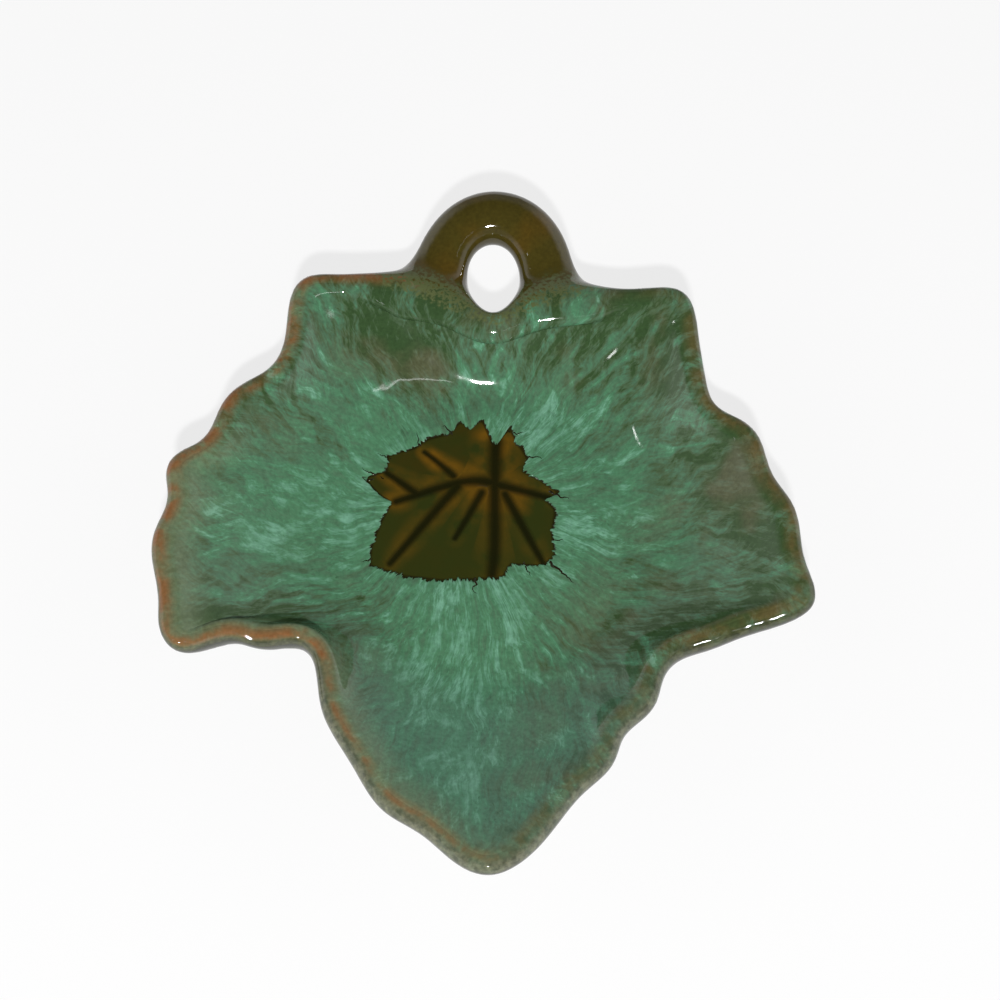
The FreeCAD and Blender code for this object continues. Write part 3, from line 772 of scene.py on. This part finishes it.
def eyeBlock(s, notch, low, shape):
    # distance from a soft ring of clay round the hole, egg-shaped, that follows the loop's rise
    halfX, halfY, middle = s["eye"]
    turn = np.linspace(0, 2 * math.pi, s["eyePoints"], endpoint=False)
    x = s["shift"] + (halfX + s["eyeRound"]) * np.cos(turn) * (1 + s["eyeEgg"] * np.sin(turn))
    y = notch[1] + middle + (halfY + s["eyeRound"]) * np.sin(turn)
    archY = notch[1] + s["hole"][1] * s["widest"]
    climb = np.clip((y - archY) / (s["hole"][1] * (1 - s["widest"]) + s["width"] / 2), 0, 1)
    z = notch[2] - s["sink"] - s["thickness"] / 2 + s["rise"] * climb
    axes = [(np.arange(n) + start) * s["voxel"] for n, start in zip(shape, low)]
    spans = []
    for axis, line in zip(axes, (x, y, z)):
        inside = np.where((axis > line.min() - s["eyeReach"]) & (axis < line.max() + s["eyeReach"]))[0]
        spans.append(slice(inside[0], inside[-1] + 1))
    px, py, pz = np.meshgrid(*(axis[span] for axis, span in zip(axes, spans)), indexing="ij")
    near = np.full(px.shape, 1e6)
    for a, b, c in zip(x, y, z):
        near = np.minimum(near, (px - a)**2 + (py - b)**2 + (pz - c)**2)
    block = np.full(shape, s["eyeReach"], np.float32)
    block[tuple(spans)] = np.sqrt(near) - s["eyeRound"]
    return block


def holeBlock(s, notch, low, shape):
    # distance from the egg-shaped hole, cut straight down through loop and lip
    halfX, halfY, middle = s["cut"]
    x = (np.arange(shape[0]) + low[0]) * s["voxel"] - s["shift"]
    y = ((np.arange(shape[1]) + low[1]) * s["voxel"] - notch[1] - middle) / halfY
    egg = np.hypot(x[:, None] / (halfX * (1 + s["cutEgg"] * np.clip(y, -1, 1))), y[None])
    return np.broadcast_to(((egg - 1) * halfX)[..., None], shape)


def softUnion(first, second, k):
    h = np.clip(0.5 + 0.5 * (first - second) / k, 0, 1)
    return first * (1 - h) + second * h - k * h * (1 - h)


def mergedLeaf(s, leaf, loop, filled, notch):
    # leaf and loop run into each other with a soft clay fillet; the loop stops inside the wall
    voxel, band = s["voxel"], s["band"]
    low = np.floor(np.minimum(leaf[0].min(0), loop[0].min(0)) / voxel).astype(int) - s["margin"]
    high = np.ceil(np.maximum(leaf[0].max(0), loop[0].max(0)) / voxel).astype(int) + s["margin"]
    shape, start = tuple(high - low), tuple(int(v) for v in low)
    leafField, loopField, filledField = (distanceBlock(sheet, voxel, start, shape, band)
                                         for sheet in (leaf, loop, filled))
    loopField = softUnion(loopField, eyeBlock(s, notch, start, shape), s["eyeJoin"])
    loopField = np.maximum(loopField, -filledField - s["bedded"])
    inside, outside = s["fillet"]
    k = inside + (outside - inside) * smoothStep(-s["filletDepth"], 0.0, filledField)
    field = softUnion(loopField, leafField, k)
    field = -softUnion(-field, holeBlock(s, notch, start, shape), s["cutEdge"])
    grid = vdb.FloatGrid(band * voxel)
    grid.copyFromArray(np.ascontiguousarray(field, np.float32), ijk=start)
    grid.transform = vdb.createLinearTransform(voxel)
    points, quads = grid.convertToQuads(isovalue=0.0)
    return np.array(points), np.array(quads)


fine = leafShape["fineColumns"]
u = np.arange(fine) * leafShape["columns"] / fine
v = np.linspace(0, rowCount - 3, leafShape["fineRows"])
leafSheet = skin(rows, u, v)
leafRun = runOf(leafSheet)
crownRun = np.array([np.interp(crownPlace, v, run) for run in leafRun])
leafAlong = leafRun - crownRun[:, None]  # distance past the lip's crown, negative inside the bowl
pocket = leafSheet[:, :1] - np.array([0, 0, leafShape["poolPocket"]])  # room for the pool's glaze
leafSolid = closedSheet(np.concatenate([pocket, leafSheet], axis=1))
filledLeaf = closedSheet(skin(rows, u[::2], np.linspace(crownPlace, rowCount - 3, leafShape["filledRows"])))
notch = rows[bandRow][0] + np.array([0, 0, leafShape["lipBand"]])
loopRings = loopSections(loopShape, notch)
roundLoop, alongLoop = loopShape["fine"]
loopSheet = skin(loopRings, np.linspace(0, loopShape["points"], roundLoop, endpoint=False),
                 np.linspace(0, len(loopRings) - 3, alongLoop))
bodyPoints, bodyFaces = mergedLeaf(loopShape, leafSolid, closedSheet(loopSheet), filledLeaf, notch)
print("glazed body", len(bodyPoints), "points", len(bodyFaces), "quads")

# the leaf's own sheet, kept for a moment to lend its run of glaze to the merged body
lender = meshObject("lender", leafSheet.reshape(-1, 3), gridFaces(fine, len(v)), {
    "flow": flowCoordinates(np.repeat(u, len(v)), leafAlong.ravel()),
    "pastCrown": leafAlong.ravel(),
    "spread": spreadOf(leafSheet).ravel(),
})
glazedLeaf = meshObject("glazedLeaf", bodyPoints, bodyFaces)


def lendTree(names):
    # each point of the body takes the values of the nearest place on the lender
    tree, node, given = newTree("lend glaze run", [("Lender", "Object")])
    source = node("GeometryNodeObjectInfo", {"Object": given["Lender"]}).outputs["Geometry"]
    geometry = given["Geometry"]
    for name, kind in names:
        value = node("GeometryNodeInputNamedAttribute", {"Name": name}, data_type=kind)
        near = node("GeometryNodeSampleNearestSurface", {"Mesh": source, "Value": value}, data_type=kind)
        geometry = node("GeometryNodeStoreNamedAttribute",
                        {"Geometry": geometry, "Name": name, "Value": near}, data_type=kind, domain="POINT")
    return endTree(tree, given, geometry)


runTree(glazedLeaf, lendTree([("flow", "FLOAT_VECTOR"), ("pastCrown", "FLOAT"), ("spread", "FLOAT")]),
        {"Lender": lender, "Material": clayGlaze()})
bpy.data.objects.remove(lender)
bodyPast = np.zeros(len(bodyPoints), np.float32)
glazedLeaf.data.attributes["pastCrown"].data.foreach_get("value", bodyPast)
storeValues(glazedLeaf, glazeValues(bodyPoints, bodyPast))
print("glazed leaf done")


# poured coat: from the ragged window over the pool up to the lip, with hair cracks at the window
coatShape = {
    "columns": 900,
    "rows": 72,
    "underRows": 10,
    "thickness": 0.5,
    "edgeStep": 0.2,
    "edgeRound": 1.6,
    "lipFade": 16.0,
    "endPlace": 8.9,
    "bed": 0.3,
    "lipShare": 0.25,
    "lipSink": (0.3, 1.2),  # how deep the coat's end goes into the lip, and over what length
    "wallSteps": 110,
    "floorSteps": 30,
    "gather": (0.35, 2.2),  # rows closer together at the window
    "windowSteps": 1600,
    "rayStart": 0.2,
    "ragged": 0.42,
    "jags": [(0, 0.35), (2, 0.8), (12, 1.5)],  # passes of softening, size
    "seed": 11,
    "window": [
        (-2.1, 32.7), (0.4, 26.4), (1.6, 25.6), (4.6, 30.6), (6.2, 27.2), (9.1, 22.1), (7.6, 18.9),
        (11.2, 17.1), (16.5, 13.1), (13.2, 11.3), (15.6, 8.6), (14.7, 2.8), (15.5, -3.0), (12.6, -5.6),
        (4.9, -5.2), (2.9, -8.7), (-3.2, -9.1), (-11.3, -9.4), (-20.2, -8.3), (-28.4, -5.6),
        (-28.1, -1.2), (-25.8, 5.9), (-23.4, 10.8), (-26.3, 12.6), (-30.0, 17.0), (-24.8, 18.9),
        (-24.5, 23.1), (-18.3, 24.9), (-15.4, 27.2), (-9.6, 29.0), (-7.1, 32.3), (-5.0, 30.0),
    ],
    "cracks": [  # half width at the root, share of it left at the tip, places in plan
        (0.30, 0.3, [(-9.3, 28.6), (-10.0, 30.6), (-11.6, 31.0)]),
        (0.36, 0.2, [(-25.4, 17.0), (-28.4, 18.2), (-31.4, 19.4)]),
        (0.28, 0.2, [(-26.0, 16.4), (-28.8, 16.8), (-31.2, 17.1)]),
        (0.32, 0.3, [(-3.6, -8.4), (-2.8, -10.6), (-4.3, -11.8), (-3.0, -13.0)]),
        (0.30, 0.3, [(4.2, 29.9), (6.0, 28.2), (8.6, 29.4)]),
        (0.36, 0.2, [(14.0, 13.4), (17.2, 12.3), (19.0, 10.9)]),
        (0.40, 0.2, [(14.0, -5.0), (17.8, -8.0), (20.0, -10.5)]),
        (0.22, 0.3, [(-24.0, 22.0), (-26.5, 23.5), (-28.0, 23.0)]),
        (0.25, 0.3, [(9.0, 22.4), (11.5, 22.8), (13.0, 21.8)]),
        (0.22, 0.3, [(14.6, 1.0), (17.0, 0.6), (18.6, 1.2)]),
        (0.22, 0.3, [(-27.6, -4.0), (-30.0, -5.0), (-31.0, -4.6)]),
        (0.25, 0.3, [(8.0, -5.0), (8.6, -7.5), (10.0, -8.6)]),
        (0.22, 0.3, [(-16.8, 25.6), (-18.2, 28.0), (-17.6, 29.5)]),
    ],
    "crackLift": -0.1,
    "crackShade": -2.0,  # counts as far inside the dark edge
    "crackStep": 0.25,
    "crackWander": (1.3, 2.0),  # size and amount in mm
    "dropFrom": 30.0,
}


def windowReach(angles):
    line = np.array(coatShape["window"] + coatShape["window"][:1])
    share = np.linspace(0, len(line) - 1, coatShape["windowSteps"])
    return polarReach(placesAt(share, np.arange(len(line)), line), poolMiddle, angles)


def coatSheet(s):
    u = np.arange(s["columns"]) * leafShape["columns"] / s["columns"]
    v = np.concatenate([np.linspace(1.0, s["endPlace"], s["wallSteps"]), [crownPlace]])
    wall = skin(rows, u, v)
    toWall = wall[:, 0, :2] - poolMiddle
    angles, far = polar(toWall)
    rng = np.random.default_rng(s["seed"])
    jag = sum(softened(rng.standard_normal(s["columns"]), n) * a for n, a in s["jags"])
    begin = windowReach(angles) + s["ragged"] * jag
    share = np.linspace(0, 1, s["rows"])
    part, power = s["gather"]
    share = part * share**power + (1 - part) * share
    ray = np.linspace(s["rayStart"], 1.0, s["floorSteps"], endpoint=False)[:, None]
    points, run, crown = [], [], []
    for c in range(s["columns"]):
        flat = raised(poolMiddle + toWall[c] * ray, floorZ)
        path = np.vstack([flat, wall[c]])
        length = runOf(path) + s["rayStart"] * far[c]
        at = begin[c] + (length[-2] - begin[c]) * share
        points.append(placesAt(at, length, path))
        run.append(at - begin[c])
        crown.append(at - length[-1])
    return u, np.array(points), np.array(run), np.array(crown)


def sheetNormals(sheet):
    around = np.roll(sheet, -1, 0) - np.roll(sheet, 1, 0)
    normal = unit(np.cross(np.gradient(sheet, axis=1), around))
    normal = unit(sum(np.roll(normal, k, 0) for k in (-2, -1, 0, 1, 2)))
    return normal * np.sign(normal[:, :1, 2:3])


def coatPiece(s):
    u, under, run, past = coatSheet(s)
    normal = sheetNormals(under)
    toLip = past[:, -1:] - past
    full = np.sqrt(smoothStep(0, 2 * s["edgeRound"], run))
    lift = s["edgeStep"] + (s["thickness"] - s["edgeStep"]) * full
    lift = lift * (s["lipShare"] + (1 - s["lipShare"]) * smoothStep(0, s["lipFade"], toLip))
    sink, over = s["lipSink"]
    lift = lift - sink * (1 - smoothStep(0, over, toLip))
    pick = np.linspace(0, s["rows"] - 1, s["underRows"]).astype(int)[::-1]
    top, bed = under + normal * lift[..., None], under[:, pick] - normal[:, pick] * s["bed"]
    both = np.concatenate([top, bed], axis=1)
    points, count = both.reshape(-1, 3), both.shape[1]
    c = np.arange(s["columns"])
    n = (c + 1) % s["columns"]
    closing = np.stack([c * count + count - 1, n * count + count - 1, n * count, c * count], 1)
    pastAll, runAll, spread = (np.concatenate([a, a[:, pick]], axis=1).ravel()
                               for a in (past, run, spreadOf(under)))
    return meshObject("pouredCoat", points, np.vstack([gridFaces(s["columns"], count), closing])[:, ::-1], {
        "flow": flowCoordinates(np.repeat(u, count), pastAll),
        "pastCrown": pastAll,
        "spread": spread,
        "fromWindow": runAll,
        **glazeValues(points, pastAll),
    })


def crackTree(s):
    # dark threads that wander along each crack and lie on the coat
    tree, node, given = newTree("lay hair cracks", [("Cracks", "Object"), ("Lift", "Float")])
    cracks = node("GeometryNodeObjectInfo", {"Object": given["Cracks"]}).outputs["Geometry"]
    step = s["crackStep"] * mm
    line = node("GeometryNodeResampleCurve", {"Curve": cracks, "Length": step}, mode="LENGTH")
    place = node("GeometryNodeInputPosition")
    size, amount = s["crackWander"]
    noise = node("TexNoise", {"Vector": place, "Scale": 1 / (size * mm), "Detail": 2.0})
    centred = node("VectorMath", (noise.outputs["Color"], (0.5, 0.5, 0.5)), **subtract)
    sway = node("VectorMath", {0: centred, "Scale": amount * mm}, **scale)
    bent = node("GeometryNodeSetPosition", {"Geometry": line, "Offset": sway})
    drop = s["dropFrom"] * mm
    above = node("VectorMath", (place, (0, 0, drop)), **add)
    hit = node("GeometryNodeRaycast", {"Target Geometry": given["Geometry"], "Source Position": above,
                                       "Ray Direction": (0, 0, -1), "Ray Length": 2 * drop}).outputs
    lift = node("CombineXYZ", {"Z": given["Lift"]})
    laid = node("GeometryNodeSetPosition", {"Geometry": bent, "Selection": hit["Is Hit"],
                                            "Position": hit["Hit Position"], "Offset": lift})
    profile = node("GeometryNodeCurvePrimitiveCircle", {"Resolution": 8, "Radius": 1.0 * mm})
    radius = node("GeometryNodeInputRadius")
    threads = node("GeometryNodeCurveToMesh",
                   {"Curve": laid, "Profile Curve": profile, "Scale": radius, "Fill Caps": True})
    dark = node("GeometryNodeStoreNamedAttribute",
                {"Geometry": threads, "Name": "fromWindow", "Value": s["crackShade"]}, **onPoints)
    joined = node("GeometryNodeJoinGeometry", {"Geometry": given["Geometry"]})
    tree.links.new(dark.outputs["Geometry"], joined.inputs["Geometry"])
    return endTree(tree, given, joined)


pouredCoat = coatPiece(coatShape)
crackPaths = curveObject("cracks", coatShape["cracks"], floorZ)
runTree(pouredCoat, crackTree(coatShape),
        {"Cracks": crackPaths, "Lift": coatShape["crackLift"] * mm, "Material": pouredGlaze(glaze)})
bpy.data.objects.remove(crackPaths)
print("poured coat", len(pouredCoat.data.vertices), "points")


# veined pool: brown glaze over the veins that are pressed into the leaf's floor
poolShape = {
    "spokes": 520,
    "rings": 90,
    "overlap": 2.0,
    "thickness": 0.1,
    "sunk": 1.2,
    "veinHalfWidth": 2.5,
    "veinDepth": 0.42,
    "groove": (1.15, 0.0, 0.0, -1.0),  # from the vein's edge down to its middle, as shares
    "topDepth": 0.5,
    "edgePasses": 6,
    "firstRing": 0.004,
    "veins": [  # size share, share of it left at the tip, then places from root to tip
        (1.0, 0.8, [(1.4, 26.5), (1.0, 15.8), (1.3, -2.1), (0.5, -7.5)]),
        (0.92, 0.6, [(0.5, 16.2), (-4.5, 16.9), (-9.5, 15.5), (-15.2, 13.7), (-22.5, 11.0)]),
        (0.72, 0.6, [(-17.5, 13.0), (-20.5, 15.4), (-24.8, 18.5)]),
        (0.88, 0.6, [(1.3, 15.6), (7.0, 14.2), (14.0, 12.0)]),
        (0.80, 0.6, [(-7.8, 15.2), (-15.5, 5.5), (-23.6, -5.0)]),
        (0.66, 0.6, [(-2.0, 13.4), (-5.0, 7.5), (-8.3, 1.5)]),
        (0.72, 0.6, [(3.6, 13.0), (8.0, 4.0), (12.9, -5.6)]),
        (0.60, 0.6, [(-8.8, 17.8), (-12.2, 21.2), (-15.8, 24.0)]),
    ],
}


def poolPiece(s):
    angles = np.linspace(0, 2 * math.pi, s["spokes"], endpoint=False)
    reach = softened(windowReach(angles), s["edgePasses"]) + s["overlap"]
    share = np.linspace(s["firstRing"], 1, s["rings"])
    way = roundWay(angles)[:, None] * (reach[:, None] * share)[..., None]
    inward = reach[:, None] * (1 - share) - s["overlap"]
    height = np.full(inward.shape + (1,), floorZ + s["thickness"])
    top = np.concatenate([poolMiddle + way, height], axis=2)
    under = top[:, [-1, 0]] - np.array([0, 0, s["thickness"] + s["sunk"]])
    points, faces = closedSheet(np.concatenate([top, under], axis=1))
    fromEdge = np.concatenate([inward, inward[:, [-1, 0]]], axis=1).ravel()
    fromEdge = np.concatenate([fromEdge, [inward.max()] * 2])  # the two points in the middle
    return meshObject("veinedPool", points, [f[::-1] for f in faces], {"fromEdge": fromEdge})


def veinTree(s):
    # each point of the top near a vein goes down into its groove
    tree, node, given = newTree(
        "press veins", [("Veins", "Object"), ("Half Width", "Float"), ("Depth", "Float")])
    veins = node("GeometryNodeObjectInfo", {"Object": given["Veins"]}).outputs["Geometry"]
    radius = node("GeometryNodeInputRadius")
    keep = node("GeometryNodeStoreNamedAttribute",
                {"Geometry": veins, "Name": "size", "Value": radius}, **onPoints)
    line = node("GeometryNodeCurveToMesh", {"Curve": keep})
    x, y, z = node("SeparateXYZ", (node("GeometryNodeInputPosition"),)).outputs
    level = node("CombineXYZ", (x, y, floorZ * mm))
    where = {"Geometry": line, "Sample Position": level}
    near = node("GeometryNodeProximity", where, target_element="EDGES").outputs["Distance"]
    nearest = node("GeometryNodeSampleNearest", where, domain="POINT")
    size = node("GeometryNodeInputNamedAttribute", {"Name": "size"}, data_type="FLOAT")
    size = node("GeometryNodeSampleIndex", {"Geometry": line, "Value": size, "Index": nearest}, **onPoints)
    width = node("Math", (size, given["Half Width"]), **multiply)
    share = node("Math", (near, width), operation="DIVIDE")
    drop = node("MapRange", (share, *s["groove"]), **smooth)
    for part in (size, given["Depth"]):
        drop = node("Math", (drop, part), **multiply)
    offset = node("CombineXYZ", {"Z": drop})
    topFrom = (floorZ - s["topDepth"]) * mm
    top = node("FunctionNodeCompare", (z, topFrom), data_type="FLOAT", operation="GREATER_THAN")
    shade = node("GeometryNodeStoreNamedAttribute",
                 {"Geometry": given["Geometry"], "Name": "veinShare", "Value": share}, **onPoints)
    move = node("GeometryNodeSetPosition", {"Geometry": shade, "Selection": top, "Offset": offset})
    return endTree(tree, given, move)


veinedPool = poolPiece(poolShape)
veinPaths = curveObject("veins", poolShape["veins"], floorZ)
runTree(veinedPool, veinTree(poolShape), {
    "Veins": veinPaths,
    "Half Width": poolShape["veinHalfWidth"] * mm,
    "Depth": poolShape["veinDepth"] * mm,
    "Material": pooledGlaze(pooled),
})
bpy.data.objects.remove(veinPaths)
print("veined pool", len(veinedPool.data.vertices), "points")

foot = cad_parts["foot_ring"]
foot.data.materials.clear()
foot.data.materials.append(bareClay(clay))

for piece, nodes, slotName in ((glazedLeaf, ("leaf_bowl", "loop_handle"), "glazed_clay"),
                               (pouredCoat, ("drip_glaze",), "teal_glaze"),
                               (veinedPool, ("pool_glaze",), "brown_glaze")):
    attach(piece, "root")
    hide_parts(*nodes)
print("pieces ride the frame")


# studio: white floor, light from both sides and little from above, small lamps, the photograph's camera
studio = {
    "eye": (2.374, -212.1, 509.0),  # mm
    "target": (2.374, 6.194, 18.58),
    "lens": 82.83,
    "sensor": 36.0,
    "clip": (0.01, 20.0),  # metres
    "floorHalf": 3000.0,
    "white": "#ffffff",
    "paper": "#f9f9f9",
    "paperRoughness": 0.9,
    "whiteShare": 0.78,
    "climb": (0.72, 0.42, 0.05, 1.0),  # light from above down to low, as a reading
    "sides": (0.35, 0.8, 0.25, 1.0),  # light from the ends round to the sides
    "aim": (0, 0, 0.02),
    "lights": [  # place in metres, size, watts
        ((0.0, -0.72, 0.96), (0.07, 0.05), 12.0),
        ((0.36, -0.42, 1.04), (0.6, 0.012), 0.16),
        ((-0.75, 0.03, 0.8), (0.04, 0.02), 0.04),
        ((-0.44, -0.5, 0.88), (0.04, 0.025), 0.05),
    ],
}
h = studio["floorHalf"]
studioFloor = meshObject("studioFloor", [(-h, -h, 0), (h, -h, 0), (h, h, 0), (-h, h, 0)], [(0, 1, 2, 3)])

# white paper: it glows a little for the camera and in reflections, so that it stays white
paper, node = newMaterial("white paper sweep")
path = node("LightPath").outputs
seen = path["Is Camera Ray"]
for kind in ("Is Glossy Ray", "Is Transmission Ray"):
    seen = node("Math", (seen, path[kind]), **add)
share = node("Math", (seen, studio["whiteShare"]), **multiply)
matt = node("BsdfPrincipled", {"Base Color": studio["paper"], "Roughness": studio["paperRoughness"]})
glow = node("Emission", {"Color": studio["white"]})
node("OutputMaterial", (node("MixShader", (share, matt, glow)),))
studioFloor.data.materials.append(paper)

world = bpy.data.worlds.new("studio")
bpy.context.scene.world = world
world.use_nodes = True
world.node_tree.nodes.clear()
node = partial(addNode, world.node_tree)
x, _, z = node("SeparateXYZ", (node("TexCoord").outputs["Generated"],)).outputs
across = node("Math", (x,), operation="ABSOLUTE")
climb, sides = (node("MapRange", (value, *studio[name]), **smooth)
                for name, value in (("climb", z), ("sides", across)))
strength = node("Math", (climb, sides), **multiply)
sky = node("Background", {"Color": studio["white"], "Strength": strength})
node("OutputWorld", {"Surface": sky})


def aimed(name, data, place, target):
    made = newObject(name, data)
    made.location = place
    made.rotation_euler = (Vector(target) - Vector(place)).to_track_quat("-Z", "Y").to_euler()
    return made


for number, (place, size, watts) in enumerate(studio["lights"]):
    light = bpy.data.lights.new(f"softbox{number}", "AREA")
    light.shape = "RECTANGLE"
    light.size, light.size_y = size
    light.energy = watts
    aimed(light.name, light, place, studio["aim"])

lens = bpy.data.cameras.new("camera")
lens.lens = studio["lens"]
lens.sensor_width = studio["sensor"]
lens.clip_start, lens.clip_end = studio["clip"]
bpy.context.scene.camera = aimed("camera", lens, *(Vector(studio[k]) * mm for k in ("eye", "target")))
bpy.context.scene.view_settings.view_transform = "Standard"
